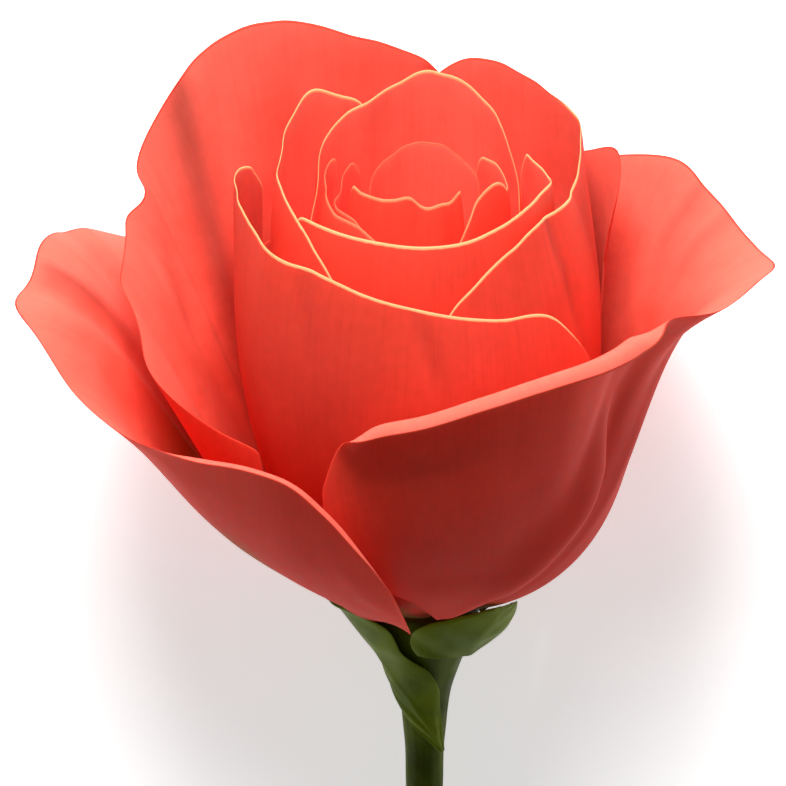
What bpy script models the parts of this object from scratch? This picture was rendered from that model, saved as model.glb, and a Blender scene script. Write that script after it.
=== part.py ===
"""A cut rose with a half-open bloom, lying on its side as picked.

The flower is laid out upright round its own axis, in millimetres: the top of the hip is at
z = 0, an azimuth of 0 degrees is the front of the bloom and 90 degrees is its right side.
One empty then lays the whole flower down, in metres, with its front facing up.
"""
import math

import bmesh
import bpy
import numpy as np

MM = 0.001

# Lie of the flower: how far its axis rises from the ground, and where the top of the hip is.
AXIS_RISE = 19.8
HIP_PLACE = (-3.65, 8.97, 18.55)

# Hip and stem.
HIP_RADIUS = 6.3
STEM_RADIUS = 2.2
STEM_LENGTH = 50.0
CUT_SLANT = 35.0
CUT_ALLOWANCE = 4.0
CUTTER_SIZE = 20.0

# Petals: claws sit in rings on the hip, the outermost petal furthest out and spreading most.
PETAL_THICKNESS = 0.35
SEAT_OUTER = 5.5
SEAT_INNER = 2.7
SEAT_HEIGHT = 0.5
CLAW_WIDTH = 42.0
CLAW_CLEARANCE = 5.0
CLAW_PITCH = 0.78
START_OUTER = 20.0
START_INNER = 78.0
SPREAD_POWER = 2.4
NECK_SHARE = 0.37
ROW_CROWDING = 1.3
PETAL_ROWS = 10

# Nesting: each petal is kept this far outside the petals that it wraps.
LAYER_PITCH = 1.1
LAYER_SOFTNESS = 0.25
HOLD_SHARE = 0.12
SHELL_CENTRE = 12.0
SHELL_LOWEST = -20.0
AZIMUTH_CELLS = 120
SHELL_CELLS = 90
FILL_STEPS = 4

# Sepals. The left one runs down the stem, and the right one cups the bloom: (azimuth, radius, height).
SEPAL_THICKNESS = 0.5
SEPAL_WIDTHS = [(0.0, 2.1), (0.25, 2.5), (0.5, 2.4), (0.75, 1.5), (1.0, 0.35)]
SPREAD_PATH = [(6.8, -2.8), (7.7, -2.1), (9.4, -1.3), (11.4, -0.3), (13.4, 1.0), (15.0, 2.4)]
LEFT_SEPAL_LEFT_EDGE = [
    (38, 2.85, -19.0), (6, 2.9, -17.0), (-40, 3.15, -14.5), (-80, 3.6, -12.0), (-110, 4.2, -10.0),
    (-126, 4.9, -8.0), (-130, 5.9, -6.2), (-130, 7.2, -4.6), (-128, 8.6, -3.0), (-124, 9.8, -1.5),
    (-118, 10.7, -0.2), (-110, 11.5, 0.8), (-98, 12.1, 1.5), (-86, 12.4, 1.8)]
LEFT_SEPAL_RIGHT_EDGE = [
    (54, 2.85, -19.0), (46, 2.95, -17.0), (38, 3.15, -14.5), (30, 3.6, -12.2), (24, 4.15, -10.0),
    (14, 4.8, -8.2), (4, 5.35, -6.7), (-14, 6.0, -5.2), (-23, 6.9, -3.8), (-26, 7.8, -2.0),
    (-29, 8.7, -0.3), (-37, 9.6, 0.9), (-49, 10.5, 1.5), (-66, 11.6, 1.8)]
RIGHT_SEPAL_LEFT_EDGE = [
    (-8, 6.9, -3.9), (-13, 7.2, -2.6), (-13, 7.7, -1.2), (-8, 8.4, 0.2), (2, 9.1, 1.3), (16, 9.7, 2.1),
    (34, 10.1, 2.4), (50, 10.5, 2.3)]
RIGHT_SEPAL_RIGHT_EDGE = [
    (104, 6.7, -5.6), (100, 8.4, -4.5), (96, 9.6, -3.4), (92, 10.1, -2.3), (90, 10.5, -1.0), (87, 10.7, -0.1),
    (79, 10.8, 0.7), (67, 10.8, 1.5)]

# Stamens and pistils, hidden in the bud.
STAMEN_RING_RADIUS = 1.85
STAMEN_RING_WIDTH = 0.42
STAMEN_HEIGHT = 8.5
STAMEN_LOBES = 12

RED_BRIGHT = (0.90, 0.09, 0.05)
RED_MIDDLE = (0.75, 0.06, 0.03)
RED_DEEP = (0.40, 0.03, 0.02)
GREEN_SEPAL = (0.07, 0.09, 0.02)
GREEN_STEM = (0.04, 0.05, 0.01)
YELLOW_STAMEN = (0.75, 0.45, 0.08)
GREEN_PISTIL = (0.45, 0.42, 0.12)


def petal(name, claw, belly, rim, across=9, neck=NECK_SHARE, roll=None, start=None, colour=RED_MIDDLE):
    """One petal's design.

    claw is the azimuth of its foot, belly how far (mm) it swings out before it turns up, and rim
    a list of stations round its edge: (azimuth, radius, height, slope of the petal there).
    roll is (radius, turn, from azimuth, to azimuth) of an edge that curls outward, and start
    lists (azimuth, slope, belly) where a petal leaves the hip unevenly.
    """
    return dict(name=name, claw=claw, belly=belly, rim=rim, across=across, neck=neck, roll=roll,
                start=start, colour=colour)


# From the outermost petal to the innermost.
OUTER_PETALS = [
    petal("petal_rear_left_outer", -148, 24, [
        (-184, 24, 27, 72), (-168, 29, 33, 60), (-150, 37.0, 35, 48), (-138, 38.5, 34, 48),
        (-126, 36.5, 32, 52), (-114, 35, 27, 60), (-104, 31, 20, 70)], colour=RED_DEEP, across=10),
    petal("petal_rear_right_outer", 149, 24, [
        (106, 26, 22, 80), (118, 31, 31, 65), (135, 36.5, 34, 52), (150, 37.0, 35.5, 49),
        (167, 30, 33, 58), (184, 24, 26, 75)], colour=RED_DEEP, across=10),
    petal("petal_left_outer", -81, 26, [
        (-150, 31, 33, 50), (-126, 38.5, 35.5, 35), (-104, 42.4, 42.3, 30), (-97, 44, 42.9, 28),
        (-90, 45.3, 40.4, 22), (-85, 46.9, 39.6, 5), (-80, 45, 37.6, 25), (-72, 41.4, 32, 35),
        (-62, 36.9, 28.6, 45), (-50, 33.6, 28.8, 60), (-38, 31.2, 29, 70), (-30, 30, 28, 75),
        (-23, 28.5, 24.5, 75), (-15, 26, 18, 70), (-9, 21, 10, 60), (-8, 12.5, 1.6, 30)],
        across=16, neck=0.30),
    petal("petal_right_outer", 38, 22, [
        (-27, 25.5, 25, 85), (-22.5, 25.5, 30.6, 85), (-14, 25.4, 34.2, 85), (0, 25.5, 36.3, 85),
        (14, 26, 38.5, 85), (30, 27, 40.2, 80), (48, 28.2, 40.9, 70), (67, 30.5, 41.3, 40),
        (75, 34, 40.6, 30), (84, 38, 42.4, 21), (90, 39.8, 42.4, 18), (98, 38.4, 42.2, 24),
        (114, 36, 45.3, 42), (122, 34.5, 47.3, 50), (136, 30, 46.9, 60), (150, 27, 45, 68)],
        across=18, neck=0.40, roll=(1.3, 170, -24, 66),
        start=[(-27, 34, 21), (30, 32, 21), (60, 28, 23), (90, 20, 27), (110, 14, 27), (130, 8, 25),
               (150, 6, 24)]),
    petal("petal_rear_middle", 181, 23, [
        (128, 22, 24, 88), (145, 24.5, 34, 78), (165, 27.5, 40, 68), (185, 28.5, 41, 64),
        (205, 28, 37, 70), (222, 26, 28, 80)], colour=RED_DEEP, across=10),
    petal("petal_left_back", -115, 22, [
        (-185, 23.3, 55, 90), (-181, 23.6, 57.8, 90), (-175, 24, 59, 90), (-160, 25, 61.2, 88),
        (-147, 26, 63.2, 82), (-134, 27, 64.6, 78), (-120, 31, 61, 68), (-114, 33.5, 55.6, 62),
        (-108, 34.5, 49.5, 58), (-102, 34.6, 46, 55), (-90, 34.6, 43.5, 55), (-79, 33, 37.1, 55),
        (-70, 32.8, 34, 60), (-62, 27, 28, 65), (-56, 22.5, 25, 75)], across=15, colour=RED_BRIGHT),
    petal("petal_right_rear", 132, 21, [
        (117, 21, 26, 88), (115, 21.6, 36, 85), (114.5, 23, 43, 78), (116, 24.6, 48, 75),
        (120, 25.3, 50.9, 74), (135, 25.5, 49, 75), (150, 25, 47.5, 80), (165, 25, 45, 85),
        (178, 24.5, 40, 90)], across=11),
]

BUD_PETALS = [
    petal("petal_bud_front", -20, 20, [
        (-124, 22.6, 47, 90), (-118, 22.3, 49.6, 88), (-110, 21.6, 51.6, 88), (-98, 21.5, 52.2, 90),
        (-78, 21.3, 51.6, 95), (-66, 20.8, 50.2, 100), (-54, 20.2, 48.6, 105), (-40, 19.5, 48.3, 105),
        (-20, 18.9, 46.6, 107), (0, 18.5, 45, 110), (25, 18.6, 43.3, 108), (46, 19.2, 42.2, 104),
        (54, 20.5, 39, 100), (59, 21.5, 35.5, 97), (63, 22, 30, 95)], across=15),
    petal("petal_bud_right", 88, 21, [
        (2, 17.4, 39, 100), (11, 16.3, 44.4, 102), (22, 15.5, 46.8, 104), (38, 14.8, 49.4, 106),
        (57, 14.6, 51.2, 108), (75, 15.2, 51.2, 110), (92, 16.3, 51.2, 110), (102, 17.6, 52.3, 106),
        (110, 18.8, 53.6, 102), (118, 20, 54.7, 98), (129, 21.3, 55.8, 95), (146, 22.5, 57.4, 92),
        (158, 23, 58.6, 90), (175, 23.8, 56.8, 90), (184, 23.6, 51, 92)], across=15),
    petal("petal_bud_rear", -160, 20, [
        (-218, 18.6, 38, 95), (-200, 20, 46, 95), (-178, 20.5, 49, 95), (-155, 20, 48, 95),
        (-130, 19.5, 44, 95), (-112, 19, 36, 95)]),
    petal("petal_bud_left_hidden", -63, 19, [
        (-145, 17, 34, 96), (-120, 17.8, 42, 96), (-92, 18.4, 43, 96), (-62, 18.2, 41, 98),
        (-30, 17.8, 37, 100), (-12, 17.5, 30, 100)]),
    petal("petal_bud_left", -112, 17, [
        (-156, 14.4, 54, 95), (-150, 14.8, 57.2, 95), (-138, 15.8, 58.8, 94), (-128, 16.5, 59.8, 93),
        (-119, 16.9, 57.8, 93), (-110, 17, 55.9, 94), (-92, 16.7, 54.2, 97), (-74, 16, 52.1, 100),
        (-58, 15.3, 49.3, 103), (-45, 15.2, 47.1, 104), (-34, 15.5, 43, 102)], across=11),
    petal("petal_heart_right", 106, 16, [
        (36, 15.2, 36, 98), (58, 15.2, 43, 98), (95, 15.4, 46, 97), (135, 15.4, 46, 97), (162, 15, 39, 97)]),
    petal("petal_heart_front", 21, 15, [
        (-84, 14.9, 48, 98), (-75, 14.6, 50, 99), (-51, 13.8, 50.6, 101), (-27, 13.2, 50.6, 103),
        (-3, 13, 50.4, 103), (26, 13, 50.9, 103), (44, 13, 51.9, 102), (62, 13.4, 52.9, 100),
        (75, 13.8, 53.3, 98), (100, 13.8, 52.8, 95), (113, 13.6, 53.1, 95), (122, 13.4, 53.2, 96),
        (130, 13.2, 50, 97)], across=13),
    petal("petal_heart_back", 153, 14, [
        (116, 11.5, 47, 99), (121, 11.8, 51.1, 99), (128, 12, 54.7, 97), (136, 12.4, 56.4, 95),
        (152, 12.2, 59.2, 94), (169, 12, 61.2, 94), (176, 12, 61.6, 94), (197, 11.6, 59.9, 96),
        (216, 11.8, 58.6, 96), (233, 12.4, 56.9, 95), (243, 12.8, 55.4, 95), (250, 13, 53, 96),
        (254, 12.9, 50.9, 97), (260, 12.6, 47.3, 98), (262, 12.6, 45, 98)], across=13),
    petal("petal_coil_left_outer", -64, 13, [
        (-112, 11, 52, 98), (-110, 11, 54.2, 98), (-101, 11.2, 53.2, 99), (-80, 11.4, 51.7, 100),
        (-62, 11.3, 51.1, 100), (-44, 11, 50.7, 102), (-20, 11, 48, 102), (0, 11, 44, 102)]),
    petal("petal_coil_left_inner", -88, 12, [
        (-130, 9.4, 51, 98), (-121, 9.6, 53, 98), (-107, 9.8, 51.5, 99), (-84, 10.2, 50.6, 99),
        (-59, 9.8, 50.5, 100), (-35, 9.5, 48, 100), (-15, 9.5, 44, 100)]),
    petal("petal_coil_right", 83, 12, [
        (18, 9.2, 46, 100), (25, 9, 49.2, 100), (39, 8.5, 52.4, 100), (47, 8.3, 53.4, 99),
        (66, 8.8, 54.3, 97), (75, 9.2, 52.6, 96), (90, 9.3, 52, 96), (110, 8.9, 52.8, 97),
        (128, 8.5, 53.8, 98), (140, 8.3, 50, 98)]),
    petal("petal_core_front", -27, 11, [
        (-84, 8.6, 49, 96), (-77, 8.4, 53.1, 96), (-60, 7.8, 52.9, 97), (-46, 7, 52.7, 98),
        (-30, 6.4, 53, 98), (-17, 6, 53.4, 98), (-8, 6, 52.5, 98), (2, 5.8, 52, 98),
        (17, 5.6, 52.4, 98), (32, 5.4, 52.2, 97), (46, 5, 53.1, 96), (54, 4.9, 49, 96)], across=11),
    petal("petal_core_back", 206, 11, [
        (104, 6.5, 45, 96), (110, 6.5, 49.8, 96), (119, 6.6, 51.7, 96), (133, 6.6, 53, 95),
        (145, 6.4, 53.7, 95), (164, 6.2, 54.8, 95), (191, 6.1, 55, 96), (215, 6.3, 54.1, 96),
        (232, 6.5, 53.1, 96), (250, 6.6, 51.8, 96), (260, 6.6, 50.7, 96), (263, 6.6, 47, 96)], across=11),
]


def core_petals():
    """The small petals rolled tight in the middle, each turned on by the golden angle."""
    golden_angle = 137.5
    outer_radius = 4.6
    radius_step = 0.85
    outer_height = 45.0
    height_step = 1.5
    half_span = 75.0
    petals = []
    for i in range(4):
        middle = 30 + golden_angle * i
        radius = outer_radius - radius_step * i
        height = outer_height - height_step * i
        rim = [(middle - half_span, radius, height - 4, 97), (middle - 40, radius, height - 0.8, 97),
               (middle, radius - 0.1, height, 97), (middle + 40, radius, height - 0.8, 97),
               (middle + half_span, radius, height - 4, 97)]
        petals.append(petal(f"petal_core_{i + 1}", middle, 8, rim, across=7))
    return petals


PETALS = OUTER_PETALS + BUD_PETALS + core_petals()


def smooth_curve(stations, count):
    """Reads a smooth curve through the stations at evenly spaced lengths."""
    p = np.array(stations, float)
    azimuth = np.radians(p[:, 0])
    place = np.stack([p[:, 1] * np.sin(azimuth), -p[:, 1] * np.cos(azimuth), p[:, 2]], 1)
    gaps = np.linalg.norm(np.diff(place, axis=0), axis=1)
    knots = np.concatenate([[0], np.cumsum(gaps)])
    gaps = gaps[:, None]
    rates = np.diff(p, axis=0) / gaps
    weight = gaps[:-1] / (gaps[:-1] + gaps[1:])
    inner = rates[:-1] * (1 - weight) + rates[1:] * weight
    slopes = np.concatenate([rates[:1], inner, rates[-1:]])
    lengths = np.linspace(0, knots[-1], count)
    piece = np.clip(np.searchsorted(knots, lengths, side="right") - 1, 0, len(p) - 2)
    h = gaps[piece]
    s = (lengths - knots[piece])[:, None] / h
    start = (2 * s ** 3 - 3 * s ** 2 + 1) * p[piece] + (s ** 3 - 2 * s ** 2 + s) * h * slopes[piece]
    end = (3 * s ** 2 - 2 * s ** 3) * p[piece + 1] + (s ** 3 - s ** 2) * h * slopes[piece + 1]
    return start + end


def eased(x):
    """Turns 0 to 1 into a smooth step."""
    x = np.clip(x, 0, 1)
    return x * x * (3 - 2 * x)


def roll_share(azimuth, roll):
    """How much of the edge's curl each azimuth has: it fades in and out over 12 degrees."""
    fade = 12
    return eased((azimuth - roll[2]) / fade) * eased((roll[3] - azimuth) / fade)


def rolled(r, z, share, roll):
    """Curls the last stretch of each meridian outward and down."""
    turn = math.radians(roll[1])
    length = roll[0] * turn
    steps = np.hypot(np.diff(r, axis=0), np.diff(z, axis=0))
    run = np.concatenate([np.zeros((1, r.shape[1])), np.cumsum(steps, axis=0)])
    angle = np.clip((length - run[-1] + run) / length, 0, 1) * turn * share
    heading = np.arctan2(np.diff(z, axis=0), np.diff(r, axis=0)) - 0.5 * (angle[1:] + angle[:-1])
    r = r[:1] + np.concatenate([np.zeros((1, r.shape[1])), np.cumsum(steps * np.cos(heading), axis=0)])
    z = z[:1] + np.concatenate([np.zeros((1, z.shape[1])), np.cumsum(steps * np.sin(heading), axis=0)])
    return r, z


def claw_seats():
    """How far out on the hip each claw sits: further out than every claw inside it that it overlaps."""
    seats = {}
    for order in range(len(PETALS) - 1, -1, -1):
        claw = PETALS[order]["claw"]
        seat = SEAT_OUTER + (SEAT_INNER - SEAT_OUTER) * order / (len(PETALS) - 1)
        for inner, inner_seat in seats.items():
            apart = abs((claw - PETALS[inner]["claw"] + 180) % 360 - 180)
            if apart < CLAW_WIDTH + CLAW_CLEARANCE:
                seat = max(seat, inner_seat + CLAW_PITCH)
        seats[order] = seat
    return seats


def petal_shape(design, seat, depth, t):
    """The petal's middle surface, as azimuth, radius and height. Rows run from claw to rim, at t."""
    across = design["across"] + 1
    rim_azimuth, rim_r, rim_z, slope = smooth_curve(design["rim"], across).T
    start = START_OUTER + (START_INNER - START_OUTER) * depth
    belly = design["belly"]
    if design["start"]:
        stations = np.array(design["start"], float).T
        start, belly = [np.interp(rim_azimuth, stations[0], values) for values in stations[1:]]
    start = np.radians(start)
    roll = design["roll"]
    if roll:
        share = roll_share(rim_azimuth, roll)
        rim_z = rim_z + share * roll[0] * (math.radians(roll[1]) - 1)
    slope = np.radians(slope)
    chord = np.hypot(rim_r - seat, rim_z - SEAT_HEIGHT)
    out = np.minimum(belly, 0.6 * chord)
    back = design["neck"] * chord
    weights = [(1 - t) ** 3, 3 * (1 - t) ** 2 * t, 3 * (1 - t) * t ** 2, t ** 3]
    radii = [seat, seat + out * np.cos(start), rim_r - back * np.cos(slope), rim_r]
    heights = [SEAT_HEIGHT, SEAT_HEIGHT + out * np.sin(start), rim_z - back * np.sin(slope), rim_z]
    r = sum(w * x for w, x in zip(weights, radii))
    z = sum(w * x for w, x in zip(weights, heights))
    if roll:
        r, z = rolled(r, z, share, roll)
    claw = design["claw"] + np.linspace(-0.5, 0.5, across) * CLAW_WIDTH
    azimuth = claw + (rim_azimuth - claw) * (1 - (1 - t) ** SPREAD_POWER)
    return azimuth, r, z


def to_shell(r, z):
    """Height along and distance from a capsule: a cylinder on top of half a ball."""
    below = z < SHELL_CENTRE
    dip = np.arctan2(SHELL_CENTRE - z, r)
    along = np.where(below, -dip * SHELL_CENTRE, z - SHELL_CENTRE)
    return along, np.where(below, np.hypot(r, SHELL_CENTRE - z), r)


def from_shell(along, distance):
    """The radius and height of a place given on the capsule."""
    below = along < 0
    dip = np.where(below, -along / SHELL_CENTRE, 0)
    r = np.where(below, distance * np.cos(dip), distance)
    return r, np.where(below, SHELL_CENTRE - distance * np.sin(dip), along + SHELL_CENTRE)


def finer(grid):
    """The same surface with more rows and columns."""
    rows, columns = grid.shape
    fine_rows = np.linspace(0, rows - 1, (rows - 1) * FILL_STEPS + 1)
    fine_columns = np.linspace(0, columns - 1, (columns - 1) * FILL_STEPS + 1)
    tall = np.stack([np.interp(fine_rows, np.arange(rows), column) for column in grid.T], 1)
    return np.stack([np.interp(fine_columns, np.arange(columns), row) for row in tall])


def mark_reach(reach, azimuth, r, z):
    """Notes how far out a petal reaches in each cell of the capsule."""
    along, distance = to_shell(finer(r), finer(z))
    column = np.floor((finer(azimuth) % 360) * AZIMUTH_CELLS / 360).astype(int) % AZIMUTH_CELLS
    row = np.clip((along - SHELL_LOWEST).astype(int), 0, SHELL_CELLS - 1)
    np.maximum.at(reach, (column.ravel(), row.ravel()), distance.ravel())


def softened(reach):
    """The reach map widened by one cell all round and blurred."""
    wide = reach
    for side in (-1, 1):
        wide = np.maximum(wide, np.roll(reach, side, 0))
    tall = wide
    for side in (-1, 1):
        tall = np.maximum(tall, np.roll(wide, side, 1))
    for axis in (0, 1, 0, 1):
        tall = 0.5 * tall + 0.25 * (np.roll(tall, 1, axis) + np.roll(tall, -1, axis))
    return tall


def read_reach(reach, azimuth, along):
    """The reach between the map's cells."""
    a = (azimuth % 360) * AZIMUTH_CELLS / 360 - 0.5
    b = np.clip(along - SHELL_LOWEST - 0.5, 0, SHELL_CELLS - 1.001)
    left = np.floor(a).astype(int)
    low = np.floor(b).astype(int)
    side, up = a - left, b - low
    left, right = left % AZIMUTH_CELLS, (left + 1) % AZIMUTH_CELLS
    lower = reach[left, low] * (1 - side) + reach[right, low] * side
    upper = reach[left, low + 1] * (1 - side) + reach[right, low + 1] * side
    return lower * (1 - up) + upper * up


def nested_petals():
    """Every petal's surface, pushed outward where it would meet a petal that it wraps."""
    up = np.linspace(0, 1, PETAL_ROWS)[:, None] ** ROW_CROWDING
    reach = np.zeros((AZIMUTH_CELLS, SHELL_CELLS))
    shapes = {}
    for order, seat in claw_seats().items():
        design = PETALS[order]
        depth = order / (len(PETALS) - 1)
        azimuth, r, z = petal_shape(design, seat, depth, up)
        height, distance = to_shell(r, z)
        needed = read_reach(softened(reach), azimuth, height) + LAYER_PITCH
        clear = needed + LAYER_SOFTNESS * np.logaddexp(0, (distance - needed) / LAYER_SOFTNESS)
        hold = eased(up / HOLD_SHARE)
        covered = needed > LAYER_PITCH + 0.5
        r, z = from_shell(height, distance + (clear - distance) * hold * covered)
        mark_reach(reach, azimuth, r, z)
        shapes[design["name"]] = (azimuth, r, z)
    return shapes


def finish(name, mesh, colour, roughness=0.55):
    """Makes the named object, with its own material, under the empty that lays the flower down."""
    material = bpy.data.materials.new(name)
    material.use_nodes = True
    shader = material.node_tree.nodes["Principled BSDF"]
    shader.inputs["Base Color"].default_value = (*colour, 1)
    shader.inputs["Roughness"].default_value = roughness
    shader.inputs["Metallic"].default_value = 0
    mesh.materials.append(material)
    mesh.shade_smooth()
    part = bpy.data.objects.new(name, mesh)
    flower.objects.link(part)
    part.parent = axis
    return part


def sheet(name, azimuth, r, z, thickness, colour):
    """A thin closed sheet whose middle surface is the given grid of points."""
    rows, columns = r.shape
    angle = np.radians(azimuth)
    points = np.stack([r * np.sin(angle), -r * np.cos(angle), z], -1) * MM
    bm = bmesh.new()
    bmesh.ops.create_grid(bm, x_segments=columns - 1, y_segments=rows - 1, size=0.5)
    for vertex in bm.verts:
        column = round((vertex.co.x + 0.5) * (columns - 1))
        row = round((vertex.co.y + 0.5) * (rows - 1))
        vertex.co = points[row, column]
    mesh = bpy.data.meshes.new(name)
    bm.to_mesh(mesh)
    bm.free()
    part = finish(name, mesh, colour)
    shell = part.modifiers.new("thickness", "SOLIDIFY")
    shell.thickness = thickness * MM
    shell.offset = 0
    return part


def turned(name, profile, colour, steps):
    """A closed turned solid. The profile runs from the top of the axis down the outer side."""
    bm = bmesh.new()
    corners = [bm.verts.new((r * MM, 0, z * MM)) for r, z in profile]
    for upper, lower in zip(corners, corners[1:]):
        bm.edges.new((upper, lower))
    mesh = bpy.data.meshes.new(name)
    bm.to_mesh(mesh)
    bm.free()
    part = finish(name, mesh, colour)
    screw = part.modifiers.new("turn", "SCREW")
    screw.steps = steps
    screw.render_steps = steps
    screw.use_merge_vertices = True
    screw.merge_threshold = 0.00001
    return part


def make_petals():
    """All petals, as thin shells."""
    shapes = nested_petals()
    for design in PETALS:
        azimuth, r, z = shapes[design["name"]]
        sheet(design["name"], azimuth, r, z, PETAL_THICKNESS, design["colour"])


def make_sepal(name, first_edge, second_edge):
    """A green leaf of the calyx between two edges, each given as (azimuth, radius, height)."""
    rows, columns = 15, 9
    edges = [smooth_curve(edge, rows) for edge in (first_edge, second_edge)]
    share = np.linspace(0, 1, columns)
    azimuth, r, z = [edges[0][:, i:i + 1] * (1 - share) + edges[1][:, i:i + 1] * share for i in range(3)]
    sheet(name, azimuth, r, z, SEPAL_THICKNESS, GREEN_SEPAL)


def spread_edges(middle):
    """The two edges of a narrow sepal that spreads under the bloom."""
    widths = np.interp(np.linspace(0, 1, len(SPREAD_PATH)), *np.array(SEPAL_WIDTHS).T)
    return [[(middle + side * math.degrees(w / r), r, z) for (r, z), w in zip(SPREAD_PATH, widths)]
            for side in (-1, 1)]


def make_sepals():
    """Five sepals: two wide ones that cup the bloom in front, and three narrow ones spread behind."""
    make_sepal("sepal_left", LEFT_SEPAL_LEFT_EDGE, LEFT_SEPAL_RIGHT_EDGE)
    make_sepal("sepal_right", RIGHT_SEPAL_LEFT_EDGE, RIGHT_SEPAL_RIGHT_EDGE)
    make_sepal("sepal_rear_right", *spread_edges(124))
    make_sepal("sepal_rear", *spread_edges(165))
    make_sepal("sepal_rear_left", *spread_edges(206))


def make_stem():
    """Stem and hip, which grew as one piece, cut on a slant at the lower end."""
    profile = [(0, 0), (HIP_RADIUS, 0), (HIP_RADIUS, -0.3), (6.2, -1.6), (5.8, -3.4), (4.8, -6.2),
               (3.6, -9.2), (2.8, -12.5), (2.35, -17), (STEM_RADIUS, -22)]
    uncut_end = -STEM_LENGTH - CUT_ALLOWANCE
    profile += [(STEM_RADIUS, uncut_end), (0, uncut_end)]
    stem = turned("stem_with_hip", profile, GREEN_STEM, 24)
    bm = bmesh.new()
    bmesh.ops.create_cube(bm, size=CUTTER_SIZE * MM)
    mesh = bpy.data.meshes.new("stem_cutter")
    bm.to_mesh(mesh)
    bm.free()
    cutter = bpy.data.objects.new("stem_cutter", mesh)
    cutters.objects.link(cutter)
    cutter.parent = axis
    slant = math.radians(CUT_SLANT)
    half = 0.5 * CUTTER_SIZE
    cutter.rotation_euler = (slant, 0, 0)
    cutter.location = (0, half * math.sin(slant) * MM, (-STEM_LENGTH - half * math.cos(slant)) * MM)
    cutter.hide_render = True
    cutter.display_type = "WIRE"
    cut = stem.modifiers.new("slanting cut", "BOOLEAN")
    cut.operation = "DIFFERENCE"
    cut.object = cutter


def make_pistils():
    """The bundle of styles in the middle of the hip, with its knobbed head."""
    profile = [(0, 7.2), (0.7, 7.0), (1.1, 6.4), (0.9, 5.8), (0.65, 5.0), (0.7, 2.0), (1.0, 0.3), (0, 0.3)]
    turned("pistils", profile, GREEN_PISTIL, 12)


def make_stamens():
    """The crown of stamens, as one scalloped ring round the pistils."""
    bpy.ops.mesh.primitive_torus_add(
        major_radius=STAMEN_RING_RADIUS * MM, minor_radius=STAMEN_RING_WIDTH * MM,
        major_segments=2 * STAMEN_LOBES, minor_segments=8)
    ring = bpy.context.object
    mesh = ring.data.copy()
    bpy.data.objects.remove(ring)
    tallest = 0.5 * STAMEN_HEIGHT * MM
    for vertex in mesh.vertices:
        side = vertex.co.z / (STAMEN_RING_WIDTH * MM)
        lobe = 0.12 * math.cos(STAMEN_LOBES * math.atan2(vertex.co.y, vertex.co.x))
        height = side * (1 + lobe) if side > 0 else side
        vertex.co.z = tallest * (1 + height) + 0.3 * MM
    finish("stamens", mesh, YELLOW_STAMEN)


for old in list(bpy.data.objects):
    bpy.data.objects.remove(old)
flower = bpy.data.collections.new("rose flower")
cutters = bpy.data.collections.new("cutters")
bpy.context.scene.collection.children.link(flower)
bpy.context.scene.collection.children.link(cutters)

axis = bpy.data.objects.new("flower_axis", None)
flower.objects.link(axis)
axis.rotation_euler = (math.radians(AXIS_RISE - 90), 0, math.radians(180))
axis.location = [place * MM for place in HIP_PLACE]

make_petals()
make_sepals()
make_stem()
make_pistils()
make_stamens()
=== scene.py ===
import math

import bmesh
import bpy
import numpy as np
from mathutils import Euler, Matrix, Vector


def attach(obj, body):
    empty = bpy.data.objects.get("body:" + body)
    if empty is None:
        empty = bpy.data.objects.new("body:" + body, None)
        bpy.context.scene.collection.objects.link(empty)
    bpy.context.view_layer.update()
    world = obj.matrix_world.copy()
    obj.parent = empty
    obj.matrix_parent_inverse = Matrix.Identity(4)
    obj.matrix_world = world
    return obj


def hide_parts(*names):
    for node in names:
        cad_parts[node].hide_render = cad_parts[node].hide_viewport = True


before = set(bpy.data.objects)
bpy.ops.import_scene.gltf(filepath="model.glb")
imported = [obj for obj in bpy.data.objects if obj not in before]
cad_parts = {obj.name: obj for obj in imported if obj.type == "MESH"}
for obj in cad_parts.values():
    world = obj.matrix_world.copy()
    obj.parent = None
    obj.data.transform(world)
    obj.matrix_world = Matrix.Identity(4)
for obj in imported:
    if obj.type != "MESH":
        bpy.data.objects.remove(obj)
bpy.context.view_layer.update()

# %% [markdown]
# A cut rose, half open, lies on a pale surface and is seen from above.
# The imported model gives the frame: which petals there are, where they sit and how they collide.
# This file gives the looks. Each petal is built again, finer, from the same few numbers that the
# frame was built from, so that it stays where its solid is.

MM = 0.001
AXIS_RISE = 19.8
HIP_PLACE = (-3.65, 8.97, 18.55)
LIE = Matrix.Translation(Vector(HIP_PLACE) * MM) @ Euler(
    (math.radians(AXIS_RISE - 90), 0, math.radians(180))).to_matrix().to_4x4()
print("the flower's own axis rises", AXIS_RISE, "degrees from the ground")

# %% [markdown]
# Petals are easiest to describe upright, round the flower's axis: an azimuth of 0 degrees is the
# front, 90 degrees the right, and heights count from the top of the hip, in millimetres.
# A petal could be sculpted, but a table of stations along its edge (azimuth, radius, height,
# slope) keeps every shape readable and easy to change.

# %% The petals' stations
# Painted light and shade for whole petals: those in the bud's middle are painted lighter, the rear ones
# darker.
PAINTED_LIGHT, PAINTED_MIDDLE, PAINTED_SHADE = 1.0, 0.5, 0.0


def petal(name, claw, belly, rim, across=9, neck=0.37, roll=None, start=None, painted_shading=PAINTED_MIDDLE,
          wave=0.22, painted_glow=0.03, rim_highlight=(0.0, 0.0, 1.0)):
    """One petal's design.

    claw is the azimuth of its foot, belly how far it swings out, and rim the stations of its edge.
    roll is (radius, turn, from azimuth, to azimuth) of an edge that curls outward, and start
    lists (azimuth, slope, belly) where a petal leaves the hip unevenly.
    painted_shading is painted light and shade for the whole petal, wave is the height of its
    ripples in mm, and painted_glow how strongly it glows by itself, a painted light that stands
    in for light coming through it.
    rim_highlight is the painted highlight along the edge: its strength, and the shares across
    the petal between which it shows.
    """
    return dict(name=name, claw=claw, belly=belly, rim=rim, across=across, neck=neck, roll=roll,
                start=start, painted_shading=painted_shading, wave=wave, painted_glow=painted_glow, rim_highlight=rim_highlight)


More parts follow.
